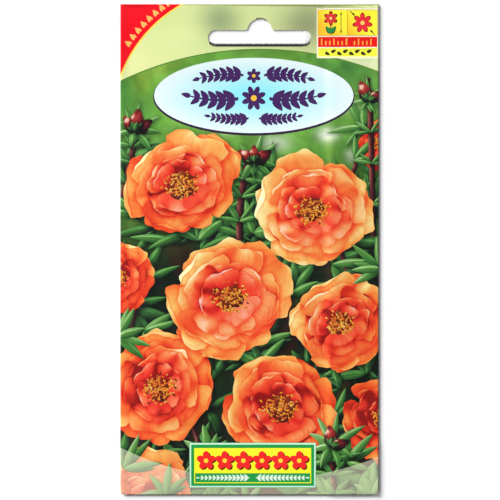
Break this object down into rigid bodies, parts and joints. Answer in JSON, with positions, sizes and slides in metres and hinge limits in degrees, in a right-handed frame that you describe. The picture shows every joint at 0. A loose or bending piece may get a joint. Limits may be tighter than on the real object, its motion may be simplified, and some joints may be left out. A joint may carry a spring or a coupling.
{
  "type": "seed packet",
  "caption": "Flat paper seed packet, back-seamed, with a round-ended hang slot punched through its header and a sealed sachet of seed inside.",
  "frame": {"origin": "middle of the packet's footprint, on the surface that it lies on", "axes": "+X across the packet, +Y up the packet towards its hang slot, +Z out of the printed face"},
  "size_m": [0.08, 0.152, 0.0018],
  "materials": {
    "printed_paper": "gloss coated, offset printed",
    "adhesive": "dried dispersion glue",
    "sachet_paper": "matte, heat-sealed",
    "seed_coat": "matte, finely tubercled"
  },
  "bodies": {
    "root": {"paper_envelope": "printed_paper", "back_seam_glue": "adhesive", "bottom_flap_glue": "adhesive", "header_glue": "adhesive", "lap_glue": "adhesive", "sachet_back_web": "sachet_paper", "sachet_front_web": "sachet_paper", "seeds": "seed_coat"}
  },
  "joints": []
}
